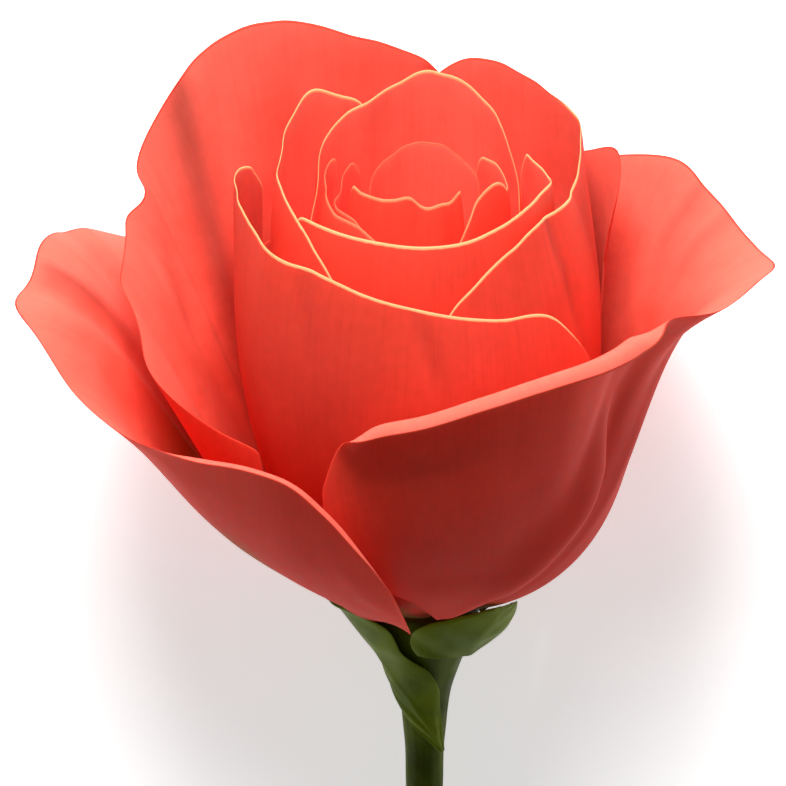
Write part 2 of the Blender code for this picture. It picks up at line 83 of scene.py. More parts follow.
OUTER_PETALS = [
    petal("petal_rear_left_outer", -148, 24, [
        (-184, 24, 27, 72), (-168, 29, 33, 60), (-150, 37, 35, 48), (-138, 38.5, 34, 48),
        (-126, 36.5, 32, 52), (-114, 35, 27, 60), (-104, 31, 20, 70)], painted_shading=PAINTED_SHADE, across=10, wave=0.4),
    petal("petal_rear_right_outer", 149, 24, [
        (106, 26, 22, 80), (118, 31, 31, 65), (135, 36.5, 34, 52), (150, 37, 35.5, 49),
        (167, 30, 33, 58), (184, 24, 26, 75)], painted_shading=PAINTED_SHADE, across=10, wave=0.4),
    petal("petal_left_outer", -81, 26, [
        (-150, 31, 33, 50), (-126, 38.5, 35.5, 35), (-104, 42.4, 42.3, 30), (-97, 44, 42.9, 28),
        (-90, 45.3, 40.4, 22), (-85, 46.9, 39.6, 5), (-80, 45, 37.6, 25), (-72, 41.4, 32, 35),
        (-62, 36.9, 28.6, 45), (-50, 33.6, 28.8, 60), (-38, 31.2, 29, 70), (-30, 30, 28, 75),
        (-23, 28.5, 24.5, 75), (-15, 26, 18, 70), (-9, 21, 10, 60), (-8, 12.5, 1.6, 30)],
        across=16, neck=0.30, roll=(0.6, 130, -60, -8)),
    petal("petal_right_outer", 38, 22, [
        (-27, 25.5, 25, 85), (-22.5, 25.5, 30.6, 85), (-14, 25.4, 34.2, 85), (0, 25.5, 36.3, 85),
        (14, 26, 38.5, 85), (30, 27, 40.2, 80), (48, 28.2, 40.9, 70), (67, 30.5, 41.3, 40),
        (75, 34, 40.6, 30), (84, 38, 42.4, 21), (90, 39.8, 42.4, 18), (98, 38.4, 42.2, 24),
        (114, 36, 45.3, 42), (122, 34.5, 47.3, 50), (136, 30, 46.9, 60), (150, 27, 45, 68)],
        across=18, neck=0.40, roll=(1.3, 170, -24, 66),
        start=[(-27, 34, 21), (30, 32, 21), (60, 28, 23), (90, 20, 27), (110, 14, 27), (130, 8, 25),
               (150, 6, 24)]),
    petal("petal_rear_middle", 181, 23, [
        (128, 22, 24, 88), (145, 24.5, 34, 78), (165, 27.5, 40, 68), (185, 28.5, 41, 64),
        (205, 28, 37, 70), (222, 26, 28, 80)], painted_shading=PAINTED_SHADE, across=10, wave=0.4),
    petal("petal_left_back", -115, 22, [
        (-185, 23.3, 55, 90), (-181, 23.6, 57.8, 90), (-175, 24, 59, 90), (-160, 25, 61.2, 88),
        (-147, 26, 63.2, 82), (-134, 27, 64.6, 78), (-120, 31, 61, 68), (-114, 33.5, 55.6, 62),
        (-108, 34.5, 49.5, 58), (-104, 33.2, 46.7, 56), (-101, 34.7, 45.7, 55), (-97, 34.5, 44.6, 55),
        (-90, 34.6, 43.5, 55), (-79, 33, 37.1, 55), (-70, 32.8, 34, 60), (-62, 27, 28, 65),
        (-56, 22.5, 25, 75)], across=15, painted_shading=0.7),
    # The darkest painted shade, for the petal that lies in shade right behind the bud.
    petal("petal_right_rear", 132, 21, [
        (117, 21, 26, 88), (115, 21.6, 36, 85), (114.5, 23, 43, 78), (116, 24.6, 48, 75),
        (120, 25.3, 50.9, 74), (135, 25.5, 49, 75), (150, 25, 47.5, 80), (165, 25, 45, 85),
        (178, 24.5, 40, 90)], across=11, painted_shading=-1.0, painted_glow=0.0),
]

BUD_PETALS = [
    petal("petal_bud_front", -20, 20, [
        (-124, 22.6, 47, 90), (-118, 22.3, 49.6, 88), (-110, 21.6, 51.6, 88), (-98, 21.5, 52.2, 90),
        (-78, 21.3, 51.6, 95), (-66, 20.8, 50.2, 100), (-54, 20.2, 48.6, 105), (-40, 19.5, 48.3, 105),
        (-20, 18.9, 46.6, 107), (0, 18.5, 45, 110), (25, 18.6, 43.3, 108), (46, 19.2, 42.2, 104),
        (54, 20.5, 39, 100), (59, 21.5, 35.5, 97), (63, 22, 30, 95)], across=15, painted_shading=0.2, painted_glow=0.0,
        rim_highlight=(1.0, 0.02, 0.84)),
    petal("petal_bud_right", 88, 21, [
        (2, 17.4, 39, 100), (11, 16.3, 44.4, 102), (22, 15.5, 46.8, 104), (38, 14.8, 49.4, 106),
        (57, 14.6, 51.2, 108), (75, 15.2, 51.2, 110), (92, 16.3, 51.2, 110), (102, 17.6, 52.3, 106),
        (110, 18.8, 53.6, 102), (118, 20, 54.7, 98), (129, 21.3, 55.8, 95), (146, 22.5, 57.4, 92),
        (158, 23, 58.6, 90), (175, 23.8, 56.8, 90), (184, 23.6, 51, 92)], across=15, painted_glow=0.05,
        rim_highlight=(1.0, 0.0, 0.62)),
    petal("petal_bud_rear", -160, 20, [
        (-218, 18.6, 38, 95), (-200, 20, 46, 95), (-178, 20.5, 49, 95), (-155, 20, 48, 95),
        (-130, 19.5, 44, 95), (-112, 19, 36, 95)]),
    petal("petal_bud_left_hidden", -63, 19, [
        (-145, 17, 34, 96), (-120, 17.8, 42, 96), (-92, 18.4, 43, 96), (-62, 18.2, 41, 98),
        (-30, 17.8, 37, 100), (-12, 17.5, 30, 100)]),
    petal("petal_bud_left", -112, 17, [
        (-156, 14.4, 54, 95), (-150, 14.8, 57.2, 95), (-138, 15.8, 58.8, 94), (-128, 16.5, 59.8, 93),
        (-119, 16.9, 57.8, 93), (-110, 17, 55.9, 94), (-92, 16.7, 54.2, 97), (-74, 16, 52.1, 100),
        (-58, 15.3, 49.3, 103), (-45, 15.2, 47.1, 104), (-34, 15.5, 43, 102)], across=11,
        painted_shading=PAINTED_LIGHT, painted_glow=0.12, rim_highlight=(1.0, 0.0, 1.0)),
    petal("petal_heart_right", 106, 16, [
        (36, 15.2, 36, 98), (58, 15.2, 43, 98), (95, 15.4, 46, 97), (135, 15.4, 46, 97), (162, 15, 39, 97)]),
    petal("petal_heart_front", 21, 15, [
        (-84, 14.9, 48, 98), (-75, 14.6, 50, 99), (-51, 13.8, 50.6, 101), (-27, 13.2, 50.6, 103),
        (-3, 13, 50.4, 103), (26, 13, 50.9, 103), (44, 13, 51.9, 102), (62, 13.4, 52.9, 100),
        (75, 13.8, 53.3, 98), (100, 13.8, 52.8, 95), (113, 13.6, 53.1, 95), (122, 13.4, 53.2, 96),
        (130, 13.2, 50, 97)], across=13, painted_shading=PAINTED_LIGHT, painted_glow=0.12, rim_highlight=(1.0, 0.0, 1.0)),
    petal("petal_heart_back", 153, 14, [
        (116, 11.5, 47, 99), (121, 11.8, 51.1, 99), (128, 12, 54.7, 97), (136, 12.4, 56.4, 95),
        (152, 12.2, 59.2, 94), (169, 12, 61.2, 94), (176, 12, 61.6, 94), (197, 11.6, 59.9, 96),
        (216, 11.8, 58.6, 96), (233, 12.4, 56.9, 95), (243, 12.8, 55.4, 95), (250, 13, 53, 96),
        (254, 12.9, 50.9, 97), (260, 12.6, 47.3, 98), (262, 12.6, 45, 98)], across=13, painted_shading=PAINTED_LIGHT, painted_glow=0.16,
        rim_highlight=(0.9, 0.0, 1.0)),
    petal("petal_coil_left_outer", -64, 13, [
        (-112, 11, 52, 98), (-110, 11, 54.2, 98), (-101, 11.2, 53.2, 99), (-80, 11.4, 51.7, 100),
        (-62, 11.3, 51.1, 100), (-44, 11, 50.7, 102), (-20, 11, 48, 102), (0, 11, 44, 102)],
        painted_shading=PAINTED_LIGHT, painted_glow=0.12, rim_highlight=(0.3, 0.0, 1.0)),
    petal("petal_coil_left_inner", -88, 12, [
        (-130, 9.4, 51, 98), (-121, 9.6, 53, 98), (-107, 9.8, 51.5, 99), (-84, 10.2, 50.6, 99),
        (-59, 9.8, 50.5, 100), (-35, 9.5, 48, 100), (-15, 9.5, 44, 100)],
        painted_shading=PAINTED_LIGHT, painted_glow=0.12, rim_highlight=(0.2, 0.0, 1.0)),
    petal("petal_coil_right", 83, 12, [
        (18, 9.2, 46, 100), (25, 9, 49.2, 100), (39, 8.5, 52.4, 100), (47, 8.3, 53.4, 99),
        (66, 8.8, 54.3, 97), (75, 9.2, 52.6, 96), (90, 9.3, 52, 96), (110, 8.9, 52.8, 97),
        (128, 8.5, 53.8, 98), (140, 8.3, 50, 98)],
        painted_shading=PAINTED_LIGHT, painted_glow=0.14, rim_highlight=(0.6, 0.0, 1.0)),
    petal("petal_core_front", -27, 11, [
        (-84, 8.6, 49, 96), (-77, 8.4, 53.1, 96), (-60, 7.8, 52.9, 97), (-46, 7, 52.7, 98),
        (-30, 6.4, 53, 98), (-17, 6, 53.4, 98), (-8, 6, 52.5, 98), (2, 5.8, 52, 98),
        (17, 5.6, 52.4, 98), (32, 5.4, 52.2, 97), (46, 5, 53.1, 96), (54, 4.9, 49, 96)], across=11,
        painted_shading=PAINTED_LIGHT, painted_glow=0.16, rim_highlight=(0.5, 0.0, 1.0)),
    petal("petal_core_back", 206, 11, [
        (104, 6.5, 45, 96), (110, 6.5, 49.8, 96), (119, 6.6, 51.7, 96), (133, 6.6, 53, 95),
        (145, 6.4, 53.7, 95), (164, 6.2, 54.8, 95), (191, 6.1, 55, 96), (215, 6.3, 54.1, 96),
        (232, 6.5, 53.1, 96), (250, 6.6, 51.8, 96), (260, 6.6, 50.7, 96), (263, 6.6, 47, 96)], across=11,
        painted_shading=PAINTED_LIGHT, painted_glow=0.16, rim_highlight=(0.1, 0.0, 1.0), wave=0.1),
]


def core_petals():
    """The small petals rolled tight in the middle, each turned on by the golden angle."""
    golden_angle = 137.5
    outer_radius = 4.6
    radius_step = 0.85
    outer_height = 45.0
    height_step = 1.5
    half_span = 75.0
    petals = []
    for i in range(4):
        middle = 30 + golden_angle * i
        radius = outer_radius - radius_step * i
        height = outer_height - height_step * i
        rim = [(middle - half_span, radius, height - 4, 97), (middle - 40, radius, height - 0.8, 97),
               (middle, radius - 0.1, height, 97), (middle + 40, radius, height - 0.8, 97),
               (middle + half_span, radius, height - 4, 97)]
        petals.append(petal(f"petal_core_{i + 1}", middle, 8, rim, across=7, painted_shading=PAINTED_LIGHT, painted_glow=0.16))
    return petals


PETALS = OUTER_PETALS + BUD_PETALS + core_petals()
print(len(PETALS), "petals, from the outermost to the innermost")

# %% [markdown]
# A real petal is a thin curved sheet. From its narrow claw on the hip it swings out, turns up and
# ends at the edge. Each meridian here is one Bezier curve from claw to edge, and the edge is a
# smooth curve through the stations. Extruding a flat outline and bending it would be quicker, but
# would never fit petals that wrap each other.

# %% From stations to a sheet
CLAW_WIDTH = 42.0
CLAW_CLEARANCE = 5.0
CLAW_PITCH = 0.78
SEAT_OUTER, SEAT_INNER = 5.5, 2.7
SEAT_HEIGHT = 0.5
START_OUTER, START_INNER = 20.0, 78.0
SPREAD_POWER = 2.4
ROW_CROWDING = 1.3


def smooth_curve(stations, count):
    """Reads a smooth curve through the stations at evenly spaced lengths."""
    p = np.array(stations, float)
    azimuth = np.radians(p[:, 0])
    place = np.stack([p[:, 1] * np.sin(azimuth), -p[:, 1] * np.cos(azimuth), p[:, 2]], 1)
    gaps = np.linalg.norm(np.diff(place, axis=0), axis=1)
    knots = np.concatenate([[0], np.cumsum(gaps)])
    gaps = gaps[:, None]
    rates = np.diff(p, axis=0) / gaps
    weight = gaps[:-1] / (gaps[:-1] + gaps[1:])
    inner = rates[:-1] * (1 - weight) + rates[1:] * weight
    slopes = np.concatenate([rates[:1], inner, rates[-1:]])
    lengths = np.linspace(0, knots[-1], count)
    piece = np.clip(np.searchsorted(knots, lengths, side="right") - 1, 0, len(p) - 2)
    h = gaps[piece]
    s = (lengths - knots[piece])[:, None] / h
    start = (2 * s ** 3 - 3 * s ** 2 + 1) * p[piece] + (s ** 3 - 2 * s ** 2 + s) * h * slopes[piece]
    end = (3 * s ** 2 - 2 * s ** 3) * p[piece + 1] + (s ** 3 - s ** 2) * h * slopes[piece + 1]
    return start + end


def eased(x):
    """Turns 0 to 1 into a smooth step."""
    x = np.clip(x, 0, 1)
    return x * x * (3 - 2 * x)


def roll_share(azimuth, roll):
    """How much of the edge's curl each azimuth has: it fades in and out over 12 degrees."""
    fade = 12
    return eased((azimuth - roll[2]) / fade) * eased((roll[3] - azimuth) / fade)


def rolled(r, z, share, roll):
    """Curls the last stretch of each meridian outward and down."""
    turn = math.radians(roll[1])
    length = roll[0] * turn
    steps = np.hypot(np.diff(r, axis=0), np.diff(z, axis=0))
    run = np.concatenate([np.zeros((1, r.shape[1])), np.cumsum(steps, axis=0)])
    angle = np.clip((length - run[-1] + run) / length, 0, 1) * turn * share
    heading = np.arctan2(np.diff(z, axis=0), np.diff(r, axis=0)) - 0.5 * (angle[1:] + angle[:-1])
    r = r[:1] + np.concatenate([np.zeros((1, r.shape[1])), np.cumsum(steps * np.cos(heading), axis=0)])
    z = z[:1] + np.concatenate([np.zeros((1, z.shape[1])), np.cumsum(steps * np.sin(heading), axis=0)])
    return r, z


def claw_seats():
    """How far out on the hip each claw sits: further out than every claw inside it that it overlaps."""
    seats = {}
    for order in range(len(PETALS) - 1, -1, -1):
        claw = PETALS[order]["claw"]
        seat = SEAT_OUTER + (SEAT_INNER - SEAT_OUTER) * order / (len(PETALS) - 1)
        for inner, inner_seat in seats.items():
            apart = abs((claw - PETALS[inner]["claw"] + 180) % 360 - 180)
            if apart < CLAW_WIDTH + CLAW_CLEARANCE:
                seat = max(seat, inner_seat + CLAW_PITCH)
        seats[order] = seat
    return seats


def petal_shape(design, seat, depth, across, along):
    """The petal's middle surface, as azimuth, radius and height. Rows run from claw to rim."""
    rim_azimuth, rim_r, rim_z, slope = smooth_curve(design["rim"], across).T
    start = START_OUTER + (START_INNER - START_OUTER) * depth
    belly = design["belly"]
    if design["start"]:
        stations = np.array(design["start"], float).T
        start, belly = [np.interp(rim_azimuth, stations[0], values) for values in stations[1:]]
    start = np.radians(start)
    roll = design["roll"]
    if roll:
        share = roll_share(rim_azimuth, roll)
        rim_z = rim_z + share * roll[0] * (math.radians(roll[1]) - 1)
    slope = np.radians(slope)
    chord = np.hypot(rim_r - seat, rim_z - SEAT_HEIGHT)
    out = np.minimum(belly, 0.6 * chord)
    back = design["neck"] * chord
    t = np.linspace(0, 1, along)[:, None] ** ROW_CROWDING
    weights = [(1 - t) ** 3, 3 * (1 - t) ** 2 * t, 3 * (1 - t) * t ** 2, t ** 3]
    radii = [seat, seat + out * np.cos(start), rim_r - back * np.cos(slope), rim_r]
    heights = [SEAT_HEIGHT, SEAT_HEIGHT + out * np.sin(start), rim_z - back * np.sin(slope), rim_z]
    r = sum(w * x for w, x in zip(weights, radii))
    z = sum(w * x for w, x in zip(weights, heights))
    if roll:
        r, z = rolled(r, z, share, roll)
    claw = design["claw"] + np.linspace(-0.5, 0.5, across) * CLAW_WIDTH
    azimuth = claw + (rim_azimuth - claw) * (1 - (1 - t) ** SPREAD_POWER)
    return azimuth, r, z


print("a petal's claw is", CLAW_WIDTH, "degrees wide where it leaves the hip")

# %% [markdown]
# The large petals were folded in the bud, and the folds still show as creases and notches. Each
# crease is a path over the petal, given as shares across it and along it, with its depth. It is
# pressed into the sheet, so it catches the light, and a painted shade darkens the skin along it.
# One path has no depth and is painted shade only. Petals that have creases get finer sheets.

# %% Creases
# Path as (share across, share along), depth in mm, half width in mm, strength of the painted shade.
CREASES = {
    "petal_left_back": [
        ([(0.40, 1.0), (0.43, 0.86), (0.455, 0.72), (0.50, 0.55), (0.54, 0.42)], 1.3, 2.0, 0.55),
        ([(0.33, 1.0), (0.36, 0.86), (0.40, 0.7)], -0.5, 1.2, 0.0),
        ([(0.55, 1.0), (0.60, 0.86), (0.63, 0.74)], 0.7, 1.2, 0.35),
        ([(0.70, 1.0), (0.72, 0.86), (0.74, 0.72), (0.75, 0.55)], -0.8, 1.3, 0.0)],
    "petal_left_outer": [
        ([(0.34, 0.97), (0.335, 0.84), (0.33, 0.70)], 1.3, 1.6, 0.6),
        ([(0.26, 1.0), (0.27, 0.84), (0.28, 0.7)], -0.8, 1.6, 0.0)],
    "petal_bud_right": [
        ([(0.32, 1.0), (0.33, 0.9), (0.34, 0.8), (0.36, 0.7)], 0.5, 1.0, 0.4),
        # A band of painted shade only, with no depth.
        ([(0.45, 0.95), (0.45, 0.8), (0.46, 0.6)], 0.0, 4.5, 0.35)],
    "petal_bud_front": [
        ([(0.60, 1.0), (0.63, 0.9), (0.66, 0.78)], 0.4, 1.1, 0.25),
        ([(0.66, 1.0), (0.68, 0.88), (0.70, 0.74)], -0.3, 1.2, 0.0),
        ([(0.42, 1.0), (0.44, 0.9), (0.46, 0.8)], 0.4, 1.3, 0.15)],
    "petal_right_outer": [
        ([(0.80, 1.0), (0.80, 0.92), (0.79, 0.82)], 0.6, 1.2, 0.3),
        ([(0.75, 1.0), (0.75, 0.92), (0.74, 0.82)], 0.5, 1.1, 0.3)],
}
print("creases on", len(CREASES), "petals")

# %% [markdown]
# Petals wrap each other without passing through. A physics simulation could push them apart, but
# it is slow and hard to steer. Here each petal notes how far out it reaches on a capsule round
# the bud, and the next one outside is pushed clear of that map, from the heart outward.

# %% Nesting the petals
LAYER_PITCH = 1.1
LAYER_SOFTNESS = 0.25
HOLD_SHARE = 0.12
SHELL_CENTRE = 12.0
SHELL_LOWEST = -20.0
AZIMUTH_CELLS = 120
SHELL_CELLS = 90
FILL_STEPS = 4


def to_shell(r, z):
    """Height along and distance from a capsule: a cylinder on top of half a ball."""
    below = z < SHELL_CENTRE
    dip = np.arctan2(SHELL_CENTRE - z, r)
    along = np.where(below, -dip * SHELL_CENTRE, z - SHELL_CENTRE)
    return along, np.where(below, np.hypot(r, SHELL_CENTRE - z), r)


def from_shell(along, distance):
    """The radius and height of a place given on the capsule."""
    below = along < 0
    dip = np.where(below, -along / SHELL_CENTRE, 0)
    r = np.where(below, distance * np.cos(dip), distance)
    return r, np.where(below, SHELL_CENTRE - distance * np.sin(dip), along + SHELL_CENTRE)


def finer(grid):
    """The same surface with more rows and columns."""
    rows, columns = grid.shape
    fine_rows = np.linspace(0, rows - 1, (rows - 1) * FILL_STEPS + 1)
    fine_columns = np.linspace(0, columns - 1, (columns - 1) * FILL_STEPS + 1)
    tall = np.stack([np.interp(fine_rows, np.arange(rows), column) for column in grid.T], 1)
    return np.stack([np.interp(fine_columns, np.arange(columns), row) for row in tall])


def mark_reach(reach, azimuth, r, z):
    """Notes how far out a petal reaches in each cell of the capsule."""
    along, distance = to_shell(finer(r), finer(z))
    column = np.floor((finer(azimuth) % 360) * AZIMUTH_CELLS / 360).astype(int) % AZIMUTH_CELLS
    row = np.clip((along - SHELL_LOWEST).astype(int), 0, SHELL_CELLS - 1)
    np.maximum.at(reach, (column.ravel(), row.ravel()), distance.ravel())


def softened(reach):
    """The reach map widened by one cell all round and blurred."""
    wide = reach
    for side in (-1, 1):
        wide = np.maximum(wide, np.roll(reach, side, 0))
    tall = wide
    for side in (-1, 1):
        tall = np.maximum(tall, np.roll(wide, side, 1))
    for axis in (0, 1, 0, 1):
        tall = 0.5 * tall + 0.25 * (np.roll(tall, 1, axis) + np.roll(tall, -1, axis))
    return tall


def read_reach(reach, azimuth, along):
    """The reach between the map's cells."""
    a = (azimuth % 360) * AZIMUTH_CELLS / 360 - 0.5
    b = np.clip(along - SHELL_LOWEST - 0.5, 0, SHELL_CELLS - 1.001)
    left = np.floor(a).astype(int)
    low = np.floor(b).astype(int)
    side, up = a - left, b - low
    left, right = left % AZIMUTH_CELLS, (left + 1) % AZIMUTH_CELLS
    lower = reach[left, low] * (1 - side) + reach[right, low] * side
    upper = reach[left, low + 1] * (1 - side) + reach[right, low + 1] * side
    return lower * (1 - up) + upper * up


def nested_petals(across_scale, along):
    """Every petal's surface, pushed outward where it would meet a petal that it wraps."""
    reach = np.zeros((AZIMUTH_CELLS, SHELL_CELLS))
    shapes = {}
    for order, seat in claw_seats().items():
        design = PETALS[order]
        depth = order / (len(PETALS) - 1)
        columns = design["across"] * (across_scale + 2 * (design["name"] in CREASES)) + 1
        azimuth, r, z = petal_shape(design, seat, depth, columns, along)
        height, distance = to_shell(r, z)
        needed = read_reach(softened(reach), azimuth, height) + LAYER_PITCH
        clear = needed + LAYER_SOFTNESS * np.logaddexp(0, (distance - needed) / LAYER_SOFTNESS)
        hold = eased(np.linspace(0, 1, along)[:, None] ** ROW_CROWDING / HOLD_SHARE)
        covered = needed > LAYER_PITCH + 0.5
        r, z = from_shell(height, distance + (clear - distance) * hold * covered)
        mark_reach(reach, azimuth, r, z)
        shapes[design["name"]] = (azimuth, r, z)
    return shapes


PETAL_COLUMNS_PER_STEP = 3
PETAL_ROWS = 44
shapes = nested_petals(PETAL_COLUMNS_PER_STEP, PETAL_ROWS)
print("nested", len(shapes), "petals")

# %% [markdown]
# No edge of a real petal is a clean curve: it ripples a little, more towards the tip, because the
# edge grew faster than the middle. A few sine waves with fixed phases do this the same way at
# each run, which random noise would not without a seed.

# %% Rippled edges
RIPPLES = [(9.0, 1.0, 0.3), (17.0, 0.6, 1.9), (31.0, 0.3, 4.1)]


def rippled(azimuth, r, z, height, number):
    """Lets the sheet wave in and out by height (mm) at its edge, fading towards the claw."""
    rows = azimuth.shape[0]
    grow = np.linspace(0, 1, rows)[:, None] ** 4
    wave = 0
    for count, share, phase in RIPPLES:
        wave = wave + share * np.sin(np.radians(azimuth) * count + phase + 2.4 * number)
    return r + height * wave * grow, z + 0.4 * height * wave * grow


for number, design in enumerate(PETALS):
    azimuth, r, z = shapes[design["name"]]
    r, z = rippled(azimuth, r, z, design["wave"], number)
    shapes[design["name"]] = (azimuth, r, z)
print("edges wave by up to", max(design["wave"] for design in PETALS), "mm")

# %% [markdown]
# A sheet becomes a petal when it has a thickness and a soft edge. Each mesh carries what its
# finish needs: a UV map (across and along the petal) for the veins, and how far each point is
# from the edge for the painted highlight along the rim. Solidify gives the thickness and a second
# material for the other face, and one level of subdivision rounds the rim.

# %% Building a sheet as a mesh
def to_flower(azimuth, r, z):
    """Points in the flower's own upright frame, in millimetres."""
    angle = np.radians(azimuth)
    return np.stack([r * np.sin(angle), -r * np.cos(angle), z], -1)


def sampled(points, across, along):
    """The sheet's point at a share across and a share along."""
    rows, columns = points.shape[:2]
    row, column = along * (rows - 1), across * (columns - 1)
    low, left = min(int(row), rows - 2), min(int(column), columns - 2)
    up, side = row - low, column - left
    lower = points[low, left] * (1 - side) + points[low, left + 1] * side
    upper = points[low + 1, left] * (1 - side) + points[low + 1, left + 1] * side
    return lower * (1 - up) + upper * up


def outward(points):
    """Unit normals of the sheet, pointing away from the bloom's middle."""
    normal = np.cross(np.gradient(points, axis=1), np.gradient(points, axis=0))
    return normal / np.maximum(np.linalg.norm(normal, axis=2, keepdims=True), 1e-9)


def creased(points, creases):
    """Presses creases into the sheet, and says how dark the painted shade along them makes each point."""
    moved, shade = points.copy(), np.zeros(points.shape[:2])
    for path, depth, half_width, painted_darkening in creases:
        stations = np.array(path)
        steps = np.linspace(0, len(path) - 1, 60)
        line = [np.interp(steps, np.arange(len(path)), stations[:, i]) for i in (0, 1)]
        course = np.array([sampled(points, across, along) for across, along in zip(*line)])
        apart = np.linalg.norm(points[:, :, None, :] - course[None, None], axis=3)
        near = np.exp(-(apart.min(axis=2) / half_width) ** 2)
        fade = 1 - eased(steps[apart.argmin(axis=2)] / (len(path) - 1) * 1.6 - 0.6)
        moved -= outward(points) * (depth * near * fade)[:, :, None]
        narrow = np.exp(-(apart.min(axis=2) / (0.8 * half_width)) ** 2)
        shade = np.maximum(shade, painted_darkening * narrow * fade)
    return moved, shade


def edge_distance(points):
    """How far each grid point is from the sheet's free edges, in mm. Row 0 is the foot."""
    steps_up = np.linalg.norm(np.diff(points, axis=0), axis=2)
    zeros = np.zeros((1, points.shape[1]))
    to_rim = np.concatenate([np.cumsum(steps_up[::-1], axis=0)[::-1], zeros])
    steps_side = np.linalg.norm(np.diff(points, axis=1), axis=2)
    zeros = np.zeros((points.shape[0], 1))
    to_left = np.concatenate([zeros, np.cumsum(steps_side, axis=1)], axis=1)
    to_right = np.concatenate([np.cumsum(steps_side[:, ::-1], axis=1)[:, ::-1], zeros], axis=1)
    return np.minimum(to_rim, np.minimum(to_left, to_right))


def sheet_mesh(name, points, attributes):
    """A grid of quads through the points, lying in the world, with a UV map and point attributes."""
    rows, columns = points.shape[:2]
    lie = np.array(LIE)
    world = (points.reshape(-1, 3) * MM) @ lie[:3, :3].T + lie[:3, 3]
    index = np.arange(rows * columns).reshape(rows, columns)
    quads = np.stack([index[:-1, :-1], index[:-1, 1:], index[1:, 1:], index[1:, :-1]], -1).reshape(-1, 4)
    mesh = bpy.data.meshes.new(name)
    mesh.from_pydata(world.tolist(), [], quads.tolist())
    across = np.tile(np.linspace(0, 1, columns), rows)
    along = np.repeat(np.linspace(0, 1, rows), columns)
    uv_layer = mesh.uv_layers.new(name="UVMap")
    corners = quads.ravel()
    uv_layer.data.foreach_set("uv", np.stack([across[corners], along[corners]], 1).ravel())
    for label, values in attributes.items():
        layer = mesh.attributes.new(label, "FLOAT", "POINT")
        layer.data.foreach_set("value", np.broadcast_to(values, (rows, columns)).ravel().astype(np.float32))
    mesh.shade_smooth()
    return mesh


def place(name, mesh, materials, slot, nodes):
    """Links the piece, gives it its materials, puts it on the root body, and hides the
    frame's solids that it stands for.
    """
    piece = bpy.data.objects.new(name, mesh)
    bpy.context.scene.collection.objects.link(piece)
    for material in materials:
        mesh.materials.append(material)
    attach(piece, "root")
    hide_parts(*nodes)
    return piece


def thicken(piece, thickness, edge_mm, taper=2.0, levels=1):
    """Gives a sheet its thickness, thinner towards the edge, its other face and a rounded rim."""
    body = piece.vertex_groups.new(name="body")
    for index, weight in enumerate(np.clip(edge_mm / taper, 0, 1).ravel()):
        body.add([index], float(weight), "REPLACE")
    shell = piece.modifiers.new("thickness", "SOLIDIFY")
    shell.vertex_group = body.name
    shell.thickness_vertex_group = 0.35
    shell.thickness = thickness * MM
    shell.offset = 0
    shell.material_offset = 1
    rounding = piece.modifiers.new("rounding", "SUBSURF")
    rounding.levels = levels
    rounding.render_levels = levels
    return piece


print("sheets carry their own coordinates")

# %% [markdown]
# Before any finish, a few helpers for nodes. A shader is a small drawing of boxes and wires, and
# short functions keep it readable: one makes a box, one joins, one turns a picture's colour
# numbers into the linear ones that the renderer uses.

# %% Node helpers
def srgb(red, green, blue):
    """A colour given as 0 to 255, as the renderer wants it."""
    shares = [channel / 255 for channel in (red, green, blue)]
    return tuple(((s + 0.055) / 1.055) ** 2.4 if s > 0.04 else s / 12.92 for s in shares) + (1,)


def add(tree, kind, x=0, y=0, **settings):
    """A new node, with its settings."""
    node = tree.nodes.new("ShaderNode" + kind)
    node.location = (x, y)
    for key, value in settings.items():
        setattr(node, key, value)
    return node


def feed(tree, target, **inputs):
    """Joins outputs to, or sets values on, the named inputs of a node. _ stands for a space."""
    for key, value in inputs.items():
        socket = target.inputs[key.replace("_", " ")]
        if isinstance(value, bpy.types.NodeSocket):
            tree.links.new(value, socket)
        else:
            socket.default_value = value
    return target


def noise(tree, vector, scale, detail=3.0, rough=0.5, distortion=0.0):
    """Noise of one size, 0 to 1."""
    node = add(tree, "TexNoise")
    feed(tree, node, Vector=vector, Scale=scale, Detail=detail, Roughness=rough, Distortion=distortion)
    return node.outputs["Fac"]


def spread(tree, value, low, high, to_low=0.0, to_high=1.0):
    """Maps low to high onto another range, smoothly and clamped."""
    node = add(tree, "MapRange", interpolation_type="SMOOTHSTEP")
    feed(tree, node, Value=value, From_Min=low, From_Max=high, To_Min=to_low, To_Max=to_high)
    return node.outputs["Result"]


def sums(tree, operation, first, second):
    """One sum with two numbers."""
    node = add(tree, "Math", operation=operation)
    for socket, value in zip(node.inputs, (first, second)):
        if isinstance(value, bpy.types.NodeSocket):
            tree.links.new(value, socket)
        else:
            socket.default_value = value
    return node.outputs[0]


def blend_colours(tree, share, first, second, kind="MIX"):
    """Mixes two colours by a share."""
    node = add(tree, "Mix", data_type="RGBA", blend_type=kind)
    for socket, value in zip((node.inputs[0], node.inputs[6], node.inputs[7]), (share, first, second)):
        if isinstance(value, bpy.types.NodeSocket):
            tree.links.new(value, socket)
        else:
            socket.default_value = value
    return node.outputs[2]


def stretched(tree, vector, x, y, z):
    """The same coordinates, scaled along each axis."""
    node = add(tree, "Mapping")
    feed(tree, node, Vector=vector, Scale=(x, y, z))
    return node.outputs["Vector"]


def new_group(name, inputs, outputs):
    """An empty node group with named inputs and outputs, and its two end nodes."""
    tree = bpy.data.node_groups.new(name, "ShaderNodeTree")
    for label, kind in inputs:
        tree.interface.new_socket(label, in_out="INPUT", socket_type="NodeSocket" + kind)
    for label, kind in outputs:
        tree.interface.new_socket(label, in_out="OUTPUT", socket_type="NodeSocket" + kind)
    return tree, tree.nodes.new("NodeGroupInput"), tree.nodes.new("NodeGroupOutput")


print("node helpers ready")
